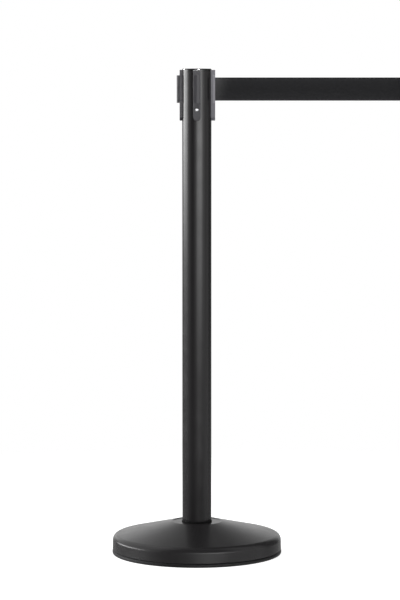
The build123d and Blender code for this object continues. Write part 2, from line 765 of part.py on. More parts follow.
with BuildPart() as belt_anchor_pin:
    with BuildSketch(Plane.XY.offset(belt_bottom - anchor_overhang)):
        with Locations((anchor_x, 0)):
            Circle(anchor_r)
    extrude(amount=belt_width + 2 * anchor_overhang)
belt_anchor_pin.part.label = "belt_anchor_pin"
export_step(belt_anchor_pin.part, "parts/belt_anchor_pin.step")

# Sliding catch: its tongue crosses the channel under the rail, and a tab below the clip
# draws it back against the spring.
latch_back = pocket_start + latch_travel + 4.2
tongue_reach = 2.2
latch_height = pocket_top - pocket_bottom - 0.6
with BuildPart() as clip_latch:
    with BuildSketch(Plane.XY.offset(pocket_bottom + 0.3)):
        with Locations(((latch_back + channel_back + tongue_reach) / 2, 0)):
            Rectangle(channel_back + tongue_reach - latch_back, pocket_width)
    extrude(amount=latch_height)
    tip_edges = clip_latch.faces().sort_by(Axis.X)[-1].edges().sort_by(Axis.Z)
    chamfer(tip_edges[0], 1.2)
    with BuildSketch(Plane.XY.offset(pocket_bottom + 0.3)):
        with Locations((tab_start + tab_length / 2, 0)):
            Rectangle(tab_length, pocket_width)
    extrude(amount=-(pocket_bottom + 0.3 - clip_bottom + 2.2))
    fillet(clip_latch.faces().sort_by(Axis.Z)[0].edges(), 0.6)
clip_latch.part.label = "clip_latch"
export_step(clip_latch.part, "parts/clip_latch.step")

latch_spring_r = 1.5
latch_wire_r = 0.25
latch_spring_length = latch_back - pocket_start
spring_axis_z = (pocket_top + pocket_bottom) / 2
with BuildPart() as latch_spring:
    with BuildLine():
        coil = Helix(
            pitch=1.05,
            height=latch_spring_length - 2 * latch_wire_r,
            radius=latch_spring_r,
            center=(pocket_start + latch_wire_r, 0, spring_axis_z),
            direction=(1, 0, 0),
        )
    with BuildSketch(Plane(origin=coil @ 0, z_dir=coil % 0)):
        Circle(latch_wire_r)
    sweep()
latch_spring.part.label = "latch_spring"
export_step(latch_spring.part, "parts/latch_spring.step")

pull_back = clip_x - exit_face_r - 0.5
print(f"belt can go back {pull_back:.1f} mm and out another {belt_wound:.0f} mm")
print(f"latch travel {latch_travel - 0.2:.1f} mm")
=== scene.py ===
# %% [markdown]
# A retractable belt stanchion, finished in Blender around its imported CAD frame.
# The frame brings every piece at its real size and place, in metres, with +Z up and the
# origin on the floor under the post. This file adds what the solids can't say: woven
# webbing, the finish of each material, the light and the camera.

# %% Load the frame
import json
from math import acos, asin, atan2, ceil, cos, hypot, pi, radians, sin

import bmesh
import bpy
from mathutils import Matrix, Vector


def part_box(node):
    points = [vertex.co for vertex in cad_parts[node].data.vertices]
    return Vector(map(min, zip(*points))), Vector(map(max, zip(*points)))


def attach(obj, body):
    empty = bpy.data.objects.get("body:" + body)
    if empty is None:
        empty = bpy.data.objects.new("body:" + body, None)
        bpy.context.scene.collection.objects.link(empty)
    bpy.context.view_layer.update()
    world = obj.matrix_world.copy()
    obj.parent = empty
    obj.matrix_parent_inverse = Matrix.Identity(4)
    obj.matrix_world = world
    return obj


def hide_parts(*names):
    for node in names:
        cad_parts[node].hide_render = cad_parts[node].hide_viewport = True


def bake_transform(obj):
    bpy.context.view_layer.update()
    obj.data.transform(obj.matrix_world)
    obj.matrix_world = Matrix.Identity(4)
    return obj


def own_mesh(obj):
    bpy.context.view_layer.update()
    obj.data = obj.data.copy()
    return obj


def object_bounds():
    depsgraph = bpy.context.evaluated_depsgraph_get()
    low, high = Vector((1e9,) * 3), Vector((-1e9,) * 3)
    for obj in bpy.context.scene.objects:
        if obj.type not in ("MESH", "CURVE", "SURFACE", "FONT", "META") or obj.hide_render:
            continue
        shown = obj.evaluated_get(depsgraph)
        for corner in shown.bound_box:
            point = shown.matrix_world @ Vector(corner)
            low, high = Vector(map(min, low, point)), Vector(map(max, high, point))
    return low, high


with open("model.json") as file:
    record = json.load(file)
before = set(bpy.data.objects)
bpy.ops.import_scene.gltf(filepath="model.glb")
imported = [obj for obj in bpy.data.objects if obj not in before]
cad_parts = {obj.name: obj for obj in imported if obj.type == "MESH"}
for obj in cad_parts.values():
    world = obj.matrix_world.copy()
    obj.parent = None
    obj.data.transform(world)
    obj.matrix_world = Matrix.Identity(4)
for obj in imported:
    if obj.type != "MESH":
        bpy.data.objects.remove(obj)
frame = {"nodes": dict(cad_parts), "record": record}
cad_low, cad_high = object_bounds()
MM = 0.001
print("CAD box from", [round(v, 4) for v in cad_low], "to", [round(v, 4) for v in cad_high])

# %% [markdown]
# The camera stands five and a half metres in front of the post, level with its cap, and
# looks down a little, so the head is seen edge on and the base from above. A long lens
# keeps the post's sides almost parallel. It could be aimed with a constraint, but a plain
# position and tilt are easier to read and give the same picture each time.

# %% Camera
EYE = Vector((0.0066, -5.5, 1.016))
TILT_DOWN = radians(5.01)
LENS_MM = 158.5

camera_data = bpy.data.cameras.new("camera")
camera_data.lens = LENS_MM
camera_data.sensor_width = 36.0
camera_data.clip_end = 60.0
camera = bpy.data.objects.new("camera", camera_data)
camera.location = EYE
camera.rotation_euler = (radians(90) - TILT_DOWN, 0, 0)
bpy.context.scene.collection.objects.link(camera)
bpy.context.scene.camera = camera
print("camera", tuple(round(v, 3) for v in EYE), "lens", LENS_MM)

# %% [markdown]
# The belt is polyester webbing, two inches wide and about half a millimetre thick, with
# a rolled selvedge along both edges. It leaves the wound roll, turns round a polished pin
# and runs out level to a sewn loop in the clip. Cloth simulation has nothing to add to a
# strap that is pulled tight, so its cross-section is swept along its route: ribs along
# the length, thicker edges, and stations close together.

# %% Webbing cross-section
webbing_low, webbing_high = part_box("belt_webbing")
WEBBING_WIDTH = webbing_high.z - webbing_low.z
WEBBING_THICKNESS = 0.55 * MM
RIBS = 11
STEPS_PER_RIB = 4
SELVEDGE = 2.4 * MM
SELVEDGE_STEPS = 6
RIBBED_WIDTH = WEBBING_WIDTH - 2 * SELVEDGE


def webbing_half_thickness(across):
    """Half the webbing's thickness at a distance across it from its lower edge."""
    from_edge = min(across, WEBBING_WIDTH - across)
    if from_edge < SELVEDGE:
        roll = sin(pi * min(1.0, (from_edge + 0.15 * SELVEDGE) / (1.15 * SELVEDGE)))
        return WEBBING_THICKNESS * (0.22 + 0.48 * max(0.0, roll))
    rib = cos(2 * pi * RIBS * (across - SELVEDGE) / RIBBED_WIDTH)
    return WEBBING_THICKNESS * (0.42 - 0.07 * rib)


edge_steps = [SELVEDGE * step / SELVEDGE_STEPS for step in range(SELVEDGE_STEPS + 1)]
rib_steps = [
    SELVEDGE + RIBBED_WIDTH * step / (RIBS * STEPS_PER_RIB)
    for step in range(1, RIBS * STEPS_PER_RIB)
]
heights = edge_steps + rib_steps + [WEBBING_WIDTH - step for step in reversed(edge_steps)]
section = [(webbing_half_thickness(height), height) for height in heights]
section += [(-half, height) for half, height in reversed(section)]
print("webbing", round(WEBBING_WIDTH / MM, 1), "mm wide,", len(section), "points round it")

# %% [markdown]
# Two shapes here are swept, the webbing and a coil spring. Both are rings of points, one
# after another, so they share how faces are put between the rings and how a mesh becomes
# an object. A bevelled curve could do both, but it turns its profile as it goes. Smooth
# shading would smear round a flat end, so the edges of faces with more than four corners
# stay crisp.

# %% Faces and mesh objects


def ring_faces(rings, sides):
    """Quads between rings of points that follow each other, and a face over each end."""
    faces = []
    for low in range(0, (rings - 1) * sides, sides):
        for j in range(sides):
            k = (j + 1) % sides
            faces.append((low + j, low + k, low + sides + k, low + sides + j))
    last = (rings - 1) * sides
    return faces + [tuple(range(sides)), tuple(range(last, last + sides))]


def mesh_object(name, vertices, faces, smooth=True):
    """A new mesh object with its normals pointing out and a crisp edge round each end."""
    mesh = bpy.data.meshes.new(name)
    mesh.from_pydata([tuple(v) for v in vertices], [], faces)
    work = bmesh.new()
    work.from_mesh(mesh)
    bmesh.ops.remove_doubles(work, verts=work.verts, dist=0.002 * MM)
    bmesh.ops.recalc_face_normals(work, faces=work.faces)
    for edge in work.edges:
        edge.smooth = all(len(face.verts) <= 4 for face in edge.link_faces)
    work.to_mesh(mesh)
    work.free()
    for polygon in mesh.polygons:
        polygon.use_smooth = smooth
    piece = bpy.data.objects.new(name, mesh)
    bpy.context.scene.collection.objects.link(piece)
    return piece


# %% [markdown]
# The webbing's sweep carries its cross-section along a route of points seen from above,
# and the section stays upright all the way, as a taut belt does.

# %% Sweep the webbing along a route


def sweep_webbing(name, route):
    """Webbing whose cross-section follows a route of (x, y) points at the belt's height."""
    vertices = []
    for i, point in enumerate(route):
        before = Vector(route[max(i - 1, 0)])
        after = Vector(route[min(i + 1, len(route) - 1)])
        along = (after - before).normalized()
        normal = Vector((-along.y, along.x))
        for offset, height in section:
            place = Vector(point) + normal * offset
            vertices.append((place.x, place.y, webbing_low.z + height))
    return mesh_object(name, vertices, ring_faces(len(route), len(section)))


def straight(start, end, spacing):
    """Points from start to end, both included, about this far apart."""
    start, end = Vector(start), Vector(end)
    steps = max(1, ceil((end - start).length / spacing))
    return [tuple(start.lerp(end, step / steps)) for step in range(steps + 1)]


def arc(centre, radius, first, last, steps):
    """Points on an arc between two angles in radians."""
    angles = [first + (last - first) * step / steps for step in range(steps + 1)]
    return [(centre[0] + radius * cos(a), centre[1] + radius * sin(a)) for a in angles]


# %% [markdown]
# Outside the head the belt runs from the pin to the clip. A blend starts and ends slowly,
# so a single one would fold the belt's middle when the clip comes home. So the run is cut
# in three, with the slow ends in two short pieces, and each piece is given its blend range:
# ease is how far along a blend its smooth step has come to the share of one end piece.
# These ranges and the bodies each piece rests on are listed but not used here.

# %% Where the belt starts and ends


def middle(node):
    """The middle of a CAD node's box."""
    low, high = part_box(node)
    return (low + high) / 2


def radius_of(node):
    """The radius of a CAD node that is round when it is seen from above."""
    low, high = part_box(node)
    return (high.x - low.x) / 2


pin, pin_radius = middle("guide_pin_front"), radius_of("guide_pin_front")
anchor, anchor_radius = middle("belt_anchor_pin"), radius_of("belt_anchor_pin")
print("pin to anchor", round((anchor.x - pin.x) / MM, 1), "mm")

# %% Belt run from the head to the clip
PIN_TO_BELT = 0.31 * MM
ANCHOR_TO_LOOP = 0.33 * MM
LOOP_FIRST, LOOP_LAST = radians(200), radians(520)
NECK_RADII = 2.6
STATION = 5 * MM
END_SHARE = 1 / 8
belt_y = pin.y + pin_radius + PIN_TO_BELT
loop_radius = anchor_radius + ANCHOR_TO_LOOP
loop = arc((anchor.x, anchor.y), loop_radius, LOOP_FIRST, LOOP_LAST, steps=28)
loop_length = loop_radius * (LOOP_LAST - LOOP_FIRST)

root_x, tip_x = pin.x, anchor.x - NECK_RADII * loop_radius
end_length = END_SHARE * (tip_x - root_x)
cut_low, cut_high = root_x + end_length, tip_x - end_length
ease = 0.5 - sin(asin(1 - 2 * END_SHARE) / 3)
slow_reach = end_length / ease
even_reach = (cut_high - cut_low) / (1 - 2 * ease)
belt_runs = []
even_start, even_end = cut_low - ease * even_reach, cut_high + ease * even_reach
for name, first, last, blend_start, blend_end, rests_on in (
    ("belt_root", root_x, cut_low, root_x, root_x + slow_reach, ["belt_exit_guide"]),
    ("belt_run", cut_low, cut_high, even_start, even_end, ["belt_root", "belt_tip"]),
    ("belt_tip", cut_high, tip_x, tip_x - slow_reach, tip_x, ["belt_anchor_pin"]),
):
    route = straight((first, belt_y), (last, belt_y), STATION)
    length = last - first
    if name == "belt_tip":
        route += loop
        length += loop_length
    piece = sweep_webbing(name, route)
    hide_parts("belt_webbing")
    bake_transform(piece)
    belt_runs.append(piece)
    print(name, round(length, 3), "m")

# %% [markdown]
# Inside the head the belt leaves the roll on a line that touches both the roll and the
# pin, after a sixth of a turn that hides where the wound solid ends. It never moves out of
# the head, so it rides on the post.

# %% Inner end of the belt, from the roll to the pin
wrap_radius = radius_of("belt_roll") + WEBBING_THICKNESS / 2
turn_radius = pin_radius + PIN_TO_BELT
WRAP = radians(60)
leave = atan2(pin.y, pin.x) - acos((wrap_radius + turn_radius) / hypot(pin.x, pin.y))
wrap = arc((0, 0), wrap_radius, leave - WRAP, leave, steps=16)
meet = (pin.x - turn_radius * cos(leave), pin.y - turn_radius * sin(leave))
pin_turn = arc((pin.x, pin.y), turn_radius, leave + pi, pi / 2, steps=10)
belt_leader = sweep_webbing(
    "belt_leader", wrap[:-1] + straight(wrap[-1], meet, STATION)[:-1] + pin_turn)
leader_length = wrap_radius * WRAP + (Vector(meet) - Vector(wrap[-1])).length
leader_length += turn_radius * abs(leave + pi / 2)
print("inner end", round(leader_length, 3), "m")

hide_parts("belt_webbing")
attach(belt_leader, "post")

# %% [markdown]
# The catch in the clip is pushed home by a coil spring of round wire, 3.5 mm across. It
# is drawn again here as a true coil. A coil shortens when the catch is drawn back, but
# this one keeps its length and rides with the belt's end.

# %% Catch spring
spring_low, spring_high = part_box("latch_spring")
WIRE_RADIUS = 0.25 * MM
COIL_TURNS = 6
RINGS_PER_TURN = 20
WIRE_SIDES = 8
coil_length = spring_high.x - spring_low.x
coil_radius = (spring_high.y - spring_low.y) / 2 - WIRE_RADIUS
coil_start = spring_low.x + WIRE_RADIUS
coil_pitch = (coil_length - 2 * WIRE_RADIUS) / COIL_TURNS
coil_axis = middle("latch_spring")
wire_points = []
for step in range(COIL_TURNS * RINGS_PER_TURN + 1):
    wound = 2 * pi * step / RINGS_PER_TURN
    outward = Vector((0, cos(wound), sin(wound)))
    along = Vector((coil_pitch / (2 * pi), -coil_radius * sin(wound), coil_radius * cos(wound)))
    side = along.normalized().cross(outward)
    centre = Vector((coil_start + coil_pitch * wound / (2 * pi), coil_axis.y, coil_axis.z))
    centre += coil_radius * outward
    for k in range(WIRE_SIDES):
        angle = 2 * pi * k / WIRE_SIDES
        wire_points.append(centre + WIRE_RADIUS * (cos(angle) * outward + sin(angle) * side))
catch_coil = mesh_object(
    "catch_coil", wire_points, ring_faces(COIL_TURNS * RINGS_PER_TURN + 1, WIRE_SIDES))
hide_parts("latch_spring")
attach(catch_coil, "belt_end")
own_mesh(catch_coil)
print("catch spring", round(coil_length / MM, 2), "mm long")

# %% [markdown]
# Materials come next. Colours are written the way a paint card gives them, as sRGB hex,
# and one function turns them to the linear values that a renderer needs. Every material
# is built from nodes, and one function adds a node with its settings and its links.

# %% Helpers for colours and nodes


def linear(hex_colour):
    """An sRGB hex colour as linear RGBA."""
    channels = [int(hex_colour[i:i + 2], 16) / 255 for i in (1, 3, 5)]
    return [c / 12.92 if c <= 0.04045 else ((c + 0.055) / 1.055) ** 2.4 for c in channels] + [1.0]


def add_node(tree, kind, settings=None, links=None):
    """A new node. A setting that names an input fills that input, any other is an attribute."""
    node = tree.nodes.new(kind)
    for name, value in (settings or {}).items():
        if isinstance(name, int) or name in node.inputs:
            node.inputs[name].default_value = value
        else:
            setattr(node, name, value)
    for name, source in (links or {}).items():
        tree.links.new(source, node.inputs[name])
    return node


def start_finish(name, colour, roughness, **sockets):
    """A material with one Principled shader: its tree, the shader, and object coordinates."""
    material = bpy.data.materials.new(name)
    material.use_nodes = True
    tree = material.node_tree
    shader = tree.nodes["Principled BSDF"]
    shader.inputs["Base Color"].default_value = linear(colour)
    shader.inputs["Roughness"].default_value = roughness
    for socket, value in sockets.items():
        shader.inputs[socket.replace("_", " ")].default_value = value
    where = add_node(tree, "ShaderNodeTexCoord").outputs["Object"]
    return material, tree, shader, where


def per_metre(size_mm):
    """The texture scale at which one cell of a pattern is size_mm wide."""
    return 1 / (size_mm * MM)


# %% [markdown]
# Polyester webbing: dull black yarn, dyed before weaving. The eye sees a dark cloth with
# hardly any sheen, fine rows of picks across it, and paler bound edges, where the weft
# turns back. The threads are 0.5 mm apart, too fine for a full view, so they are drawn
# 2.8 mm apart. A ramp across the width paints the edges, which stay put as it stretches.
# A wave texture has 20 / (2 pi) waves in one unit, so its scale is smaller than a noise's.

# %% Polyester webbing
THREAD_MM = 2.7635
WAVES_PER_UNIT = 20 / (2 * pi)
webbing, tree, shader, where = start_finish(
    "polyester_webbing", "#202022", 0.75, Sheen_Weight=0.05, Specular_IOR_Level=0.3)
shader.inputs["IOR"].default_value = 1.54
picks = add_node(tree, "ShaderNodeTexWave", {
    "wave_type": "BANDS", "bands_direction": "X", "Scale": per_metre(THREAD_MM) / WAVES_PER_UNIT,
    "Distortion": 0.6, "Detail": 1.0, "Detail Scale": 2.0}, {"Vector": where})
warp = add_node(tree, "ShaderNodeTexWave", {
    "wave_type": "BANDS", "bands_direction": "Z", "Scale": per_metre(THREAD_MM) / WAVES_PER_UNIT,
    "Distortion": 0.3}, {"Vector": where})
weave = add_node(tree, "ShaderNodeMath", {"operation": "MULTIPLY"}, {
    0: picks.outputs["Fac"], 1: warp.outputs["Fac"]})
fuzz = add_node(tree, "ShaderNodeTexNoise", {
    "Scale": per_metre(6.0), "Detail": 4.0}, {"Vector": where})
yarn = add_node(tree, "ShaderNodeValToRGB", {}, {"Fac": fuzz.outputs["Fac"]})
yarn.color_ramp.elements[0].color = linear("#303032")
yarn.color_ramp.elements[1].color = linear("#3f3f42")
height_up = add_node(tree, "ShaderNodeSeparateXYZ", {}, {"Vector": where})
across = add_node(tree, "ShaderNodeMapRange", {
    "From Min": webbing_low.z, "From Max": webbing_high.z}, {"Value": height_up.outputs["Z"]})
edges = add_node(tree, "ShaderNodeValToRGB", {}, {"Fac": across.outputs["Result"]})
stops = edges.color_ramp.elements
stops[0].color = linear("#ffffff")
stops[1].color = linear("#808080")
for place, shade in ((0.05, "#e0e0e0"), (0.10, "#c0c0c0"), (0.50, "#acacac"),
                     (0.85, "#bcbcbc"), (0.95, "#e0e0e0"), (0.98, "#909090")):
    stops.new(place).color = linear(shade)
dyed = add_node(tree, "ShaderNodeVectorMath", {"operation": "MULTIPLY"}, {
    0: yarn.outputs["Color"], 1: edges.outputs["Color"]})
tree.links.new(dyed.outputs["Vector"], shader.inputs["Base Color"])
bump = add_node(tree, "ShaderNodeBump", {
    "Strength": 0.5, "Distance": 0.12 * MM}, {"Height": weave.outputs["Value"]})
tree.links.new(bump.outputs["Normal"], shader.inputs["Normal"])
print(webbing.name, "with threads drawn", round(THREAD_MM, 1), "mm apart")

# %% [markdown]
# Powder coat on steel: a thick baked film of polyester paint, glossy but not quite flat.
# As it melts the film pulls itself into a faint orange peel about three millimetres
# across, which softens a highlight's edge without making it dull. The tube is a little
# glossier than the spun cover, whose long curves show their highlights more widely.

# %% Powder-coated steel


def powder_coat(name, colour, roughness, peel_mm, peel_height):
    """Black polyester powder over steel, with its orange peel and uneven gloss."""
    material, tree, shader, where = start_finish(name, colour, roughness)
    shader.inputs["IOR"].default_value = 1.5
    peel = add_node(tree, "ShaderNodeTexNoise", {
        "Scale": per_metre(peel_mm), "Detail": 2.0, "Roughness": 0.4}, {"Vector": where})
    grain = add_node(tree, "ShaderNodeTexNoise", {
        "Scale": per_metre(0.8), "Detail": 1.0}, {"Vector": where})
    both = add_node(tree, "ShaderNodeMath", {"operation": "MULTIPLY_ADD", 1: 0.15}, {
        0: grain.outputs["Fac"], 2: peel.outputs["Fac"]})
    bump = add_node(tree, "ShaderNodeBump", {
        "Strength": 0.6, "Distance": peel_height}, {"Height": both.outputs["Value"]})
    tree.links.new(bump.outputs["Normal"], shader.inputs["Normal"])
    cloud = add_node(tree, "ShaderNodeTexNoise", {
        "Scale": per_metre(45), "Detail": 5.0, "Roughness": 0.6}, {"Vector": where})
    gloss = add_node(tree, "ShaderNodeMapRange", {
        "From Min": 0.3, "From Max": 0.7, "To Min": roughness - 0.03, "To Max": roughness + 0.05},
        {"Value": cloud.outputs["Fac"]})
    tree.links.new(gloss.outputs["Result"], shader.inputs["Roughness"])
    return material


PEEL_MM = 3.0
tube_coat = powder_coat("powder_coat_tube", "#232223", 0.16, PEEL_MM, 0.004 * MM)
cover_coat = powder_coat("powder_coat_cover", "#242324", 0.22, PEEL_MM, 0.008 * MM)
print("powder coats with a peel of", PEEL_MM, "mm:", tube_coat.name, cover_coat.name)

# %% [markdown]
# Moulded plastics. The cap is ABS from a polished mould, so it is the glossiest black on
# the post. The receivers are glass-filled nylon, greyer and satin. The plate and guide
# that the belt leaves through are the same nylon in paler satin greys, and the guide is the
# palest. This paleness is painted light, for the light that falls on the head's right
# side. The belt clip has the fine spark-eroded texture that hides finger marks, and the
# frame inside is plain nylon.

# %% Moulded plastics


def moulded(name, colour, roughness, grain_mm, grain_height, ior=1.5):
    """An injection-moulded plastic with the grain that its mould gave it."""
    material, tree, shader, where = start_finish(name, colour, roughness)
    shader.inputs["IOR"].default_value = ior
    grain = add_node(tree, "ShaderNodeTexNoise", {
        "Scale": per_metre(grain_mm), "Detail": 3.0, "Roughness": 0.55}, {"Vector": where})
    bump = add_node(tree, "ShaderNodeBump", {
        "Strength": 0.5, "Distance": grain_height}, {"Height": grain.outputs["Fac"]})
    tree.links.new(bump.outputs["Normal"], shader.inputs["Normal"])
    cloud = add_node(tree, "ShaderNodeTexNoise", {
        "Scale": per_metre(14), "Detail": 3.0}, {"Vector": where})
    gloss = add_node(tree, "ShaderNodeMapRange", {
        "From Min": 0.3, "From Max": 0.7, "To Min": roughness - 0.03, "To Max": roughness + 0.05},
        {"Value": cloud.outputs["Fac"]})
    tree.links.new(gloss.outputs["Result"], shader.inputs["Roughness"])
    return material


abs_cap = moulded("polished_abs", "#121213", 0.12, 5.0, 0.004 * MM)
nylon_receiver = moulded("glass_filled_nylon", "#444347", 0.30, 1.2, 0.01 * MM, ior=1.53)
# painted light: the exit plate's and the guide's paler greys stand in for the light on the head's
# right side
exit_plate_painted_light = moulded("nylon_exit_plate_painted_light", "#77767c", 0.34, 1.2, 0.01 * MM, ior=1.53)
guide_painted_light = moulded("nylon_guide_painted_light", "#8d8c92", 0.32, 1.2, 0.01 * MM, ior=1.53)
nylon_clip = moulded("spark_textured_nylon", "#1a1a1b", 0.42, 0.9, 0.03 * MM, ior=1.53)
nylon_frame = moulded("plain_nylon", "#2b2b2d", 0.50, 2.0, 0.01 * MM, ior=1.53)
print("plastics:", abs_cap.name, nylon_receiver.name, exit_plate_painted_light.name, guide_painted_light.name,
      nylon_clip.name, nylon_frame.name)

# %% [markdown]
# Rubber: the floor ring and the gasket are black SBR, smooth from the mould but with the
# soft, slightly grey highlight of rubber. The gasket is made near black and rough. Its
# darkness is partly its own and partly painted shade where the tube meets the cover.

# %% Rubber


def rubber(name, colour, roughness):
    """Moulded black rubber with a bloom that greys it in patches."""
    material, tree, shader, where = start_finish(name, colour, roughness)
    shader.inputs["IOR"].default_value = 1.52
    bloom = add_node(tree, "ShaderNodeTexNoise", {
        "Scale": per_metre(9), "Detail": 5.0, "Roughness": 0.65}, {"Vector": where})
    tone = add_node(tree, "ShaderNodeValToRGB", {}, {"Fac": bloom.outputs["Fac"]})
    tone.color_ramp.elements[0].position = 0.35
    tone.color_ramp.elements[1].position = 0.75
    tone.color_ramp.elements[0].color = linear(colour)
    tone.color_ramp.elements[1].color = [c * 1.5 for c in linear(colour)[:3]] + [1.0]
    tree.links.new(tone.outputs["Color"], shader.inputs["Base Color"])
    bump = add_node(tree, "ShaderNodeBump", {
        "Strength": 0.4, "Distance": 0.02 * MM}, {"Height": bloom.outputs["Fac"]})
    tree.links.new(bump.outputs["Normal"], shader.inputs["Normal"])
    return material


ring_rubber = rubber("floor_ring_rubber", "#151516", 0.45)
# partly painted shade: the gasket's near-black rough finish deepens the shade at the tube's foot
gasket_rubber = rubber("gasket_rubber", "#050505", 0.85)
print("rubbers:", ring_rubber.name, gasket_rubber.name)

# %% [markdown]
# Metals. A metal keeps the default IOR and gets its look from its colour, its roughness
# and the marks of how it was made: bright zinc on the screws, ground bar for the axle and
# pins, blued strip for the springs, turned brass for the bushes, and cast iron below.

# %% Metals


def metal(name, colour, roughness, mark_mm, mark_height, stretch=(1, 1, 1)):
    """A metal with fine marks, drawn out along the axes that stretch makes small."""
    material, tree, shader, where = start_finish(name, colour, roughness, Metallic=1.0)
    drawn = add_node(tree, "ShaderNodeMapping", {"Scale": stretch}, {"Vector": where})
    marks = add_node(tree, "ShaderNodeTexNoise", {
        "Scale": per_metre(mark_mm), "Detail": 4.0, "Roughness": 0.6},
        {"Vector": drawn.outputs["Vector"]})
    bump = add_node(tree, "ShaderNodeBump", {
        "Strength": 0.5, "Distance": mark_height}, {"Height": marks.outputs["Fac"]})
    tree.links.new(bump.outputs["Normal"], shader.inputs["Normal"])
    gloss = add_node(tree, "ShaderNodeMapRange", {
        "From Min": 0.3, "From Max": 0.7, "To Min": roughness - 0.06, "To Max": roughness + 0.08},
        {"Value": marks.outputs["Fac"]})
    tree.links.new(gloss.outputs["Result"], shader.inputs["Roughness"])
    return material


zinc_plate = metal("bright_zinc_plate", "#d7d8da", 0.22, 1.5, 0.01 * MM)
ground_steel = metal("ground_steel", "#b9bbbe", 0.25, 0.6, 0.01 * MM, (1, 1, 0.1))
blued_steel = metal("blued_spring_steel", "#5a6270", 0.3, 1.0, 0.01 * MM)
turned_brass = metal("turned_brass", "#c9a45a", 0.25, 0.5, 0.01 * MM, (1, 1, 4))
cast_iron = metal("grey_cast_iron", "#4a4845", 0.7, 1.2, 0.25 * MM)
print("metals:", zinc_plate.name, ground_steel.name, blued_steel.name, turned_brass.name,
      cast_iron.name)

# %% [markdown]
# Each CAD piece takes the finish of its material slot. The solids keep their own shape,
# and only their materials change here. The exit plate shares the receivers' slot but gets
# its own paler grey, which is painted light for the lit right side of the head.

# %% Give every piece its finish
finishes = {
    "tube_powder_coat": tube_coat,
    "cover_powder_coat": cover_coat,
    "weight_cast_iron": cast_iron,
    "floor_ring_rubber": ring_rubber,
    "gasket_rubber": gasket_rubber,
    "cap_plastic": abs_cap,
    "receiver_plastic": nylon_receiver,
    "guide_plastic": guide_painted_light,
    "clip_plastic": nylon_clip,
    "frame_plastic": nylon_frame,
    "belt_polyester": webbing,
    "zinc_plated_steel": zinc_plate,
    "plain_steel": ground_steel,
    "spring_steel": blued_steel,
    "bush_brass": turned_brass,
}
for part in frame["record"]["subparts"]:
    piece = frame["nodes"][part["node"]]
    piece.data.materials.clear()
    piece.data.materials.append(finishes[part["material_slot"]])
# painted light: the exit plate takes a paler grey than the receivers, for the light on its side
frame["nodes"]["belt_exit_plate"].data.materials[0] = exit_plate_painted_light
for piece in (*belt_runs, belt_leader):
    piece.data.materials.append(webbing)
catch_coil.data.materials.append(blued_steel)
print(len(finishes), "finishes on", len(frame["nodes"]), "nodes")

# %% [markdown]
# The set is a round light table: frosted acrylic, lit from below until it is white, with
# a rim that fades into the white behind it. It is left out of the mirror images in the
# black paint, as a photographer does with a strip of black card, so the paint stays deep.
# It lies a hair below the post's foot, so that no two faces share one plane.

# %% Light table
FLOOR_RADIUS = 1.6
FLOOR_SIDES = 96
GAP_UNDER_POST = 0.2 * MM
corners = [2 * pi * i / FLOOR_SIDES for i in range(FLOOR_SIDES)]
floor = mesh_object(
    "floor",
    [(FLOOR_RADIUS * cos(a), FLOOR_RADIUS * sin(a), -GAP_UNDER_POST) for a in corners],
    [tuple(range(FLOOR_SIDES))],
    smooth=False,
)
print("table", 2 * FLOOR_RADIUS, "m across")

# %% Frosted acrylic
acrylic, tree, shader, where = start_finish(
    "frosted_acrylic_table", "#e6e6e6", 0.9, Emission_Strength=0.8)
shader.inputs["Emission Color"].default_value = linear("#ffffff")
shader.inputs["IOR"].default_value = 1.49
frosting = add_node(tree, "ShaderNodeTexNoise", {
    "Scale": per_metre(2.0), "Detail": 2.0}, {"Vector": where})
bump = add_node(tree, "ShaderNodeBump", {
    "Strength": 0.1, "Distance": 0.05 * MM}, {"Height": frosting.outputs["Fac"]})
tree.links.new(bump.outputs["Normal"], shader.inputs["Normal"])
distance = add_node(tree, "ShaderNodeVectorMath", {"operation": "LENGTH"}, {"Vector": where})
fade = add_node(tree, "ShaderNodeMapRange", {
    "interpolation_type": "SMOOTHSTEP", "From Min": 0.55 * FLOOR_RADIUS,
    "From Max": 0.98 * FLOOR_RADIUS}, {"Value": distance.outputs["Value"]})
clear = add_node(tree, "ShaderNodeBsdfTransparent")
rim = add_node(tree, "ShaderNodeMixShader", {}, {
    "Fac": fade.outputs["Result"], 1: shader.outputs["BSDF"], 2: clear.outputs["BSDF"]})
tree.links.new(rim.outputs["Shader"], tree.nodes["Material Output"].inputs["Surface"])
floor.data.materials.append(acrylic)
floor.visible_glossy = False

# %% [markdown]
# Black gloss shows what it mirrors more than its own colour, so the studio is drawn into
# the world as panels. Each one is a patch of sky with soft edges: a bright one behind on
# the left, a softer one in front on the right, a white sweep at the back, dim walls on
# both sides, and a dim glow below the horizon. Between them it is nearly dark. Area lamps
# could stand there instead, but their edges would be hard lines in the paint.

# %% Compass and height of each direction
world = bpy.data.worlds.new("studio")
world.use_nodes = True
bpy.context.scene.world = world
tree = world.node_tree
tree.nodes.clear()
direction = add_node(tree, "ShaderNodeTexCoord").outputs["Generated"]
axes = add_node(tree, "ShaderNodeSeparateXYZ", {}, {"Vector": direction})
level = add_node(tree, "ShaderNodeCombineXYZ", {}, {
    "X": axes.outputs["X"], "Y": axes.outputs["Y"]})
level = add_node(tree, "ShaderNodeVectorMath", {"operation": "NORMALIZE"}, {
    0: level.outputs["Vector"]})


def toward(azimuth, height=0):
    """The direction at an azimuth, 0 in front of the post and 90 on its right, and a height."""
    flat = cos(radians(height))
    return Vector((
        flat * sin(radians(azimuth)), -flat * cos(radians(azimuth)), sin(radians(height))))


print("front", tuple(round(v, 3) for v in toward(0)), "right", tuple(round(v, 3) for v in toward(90)))

# %% Studio panels in the world


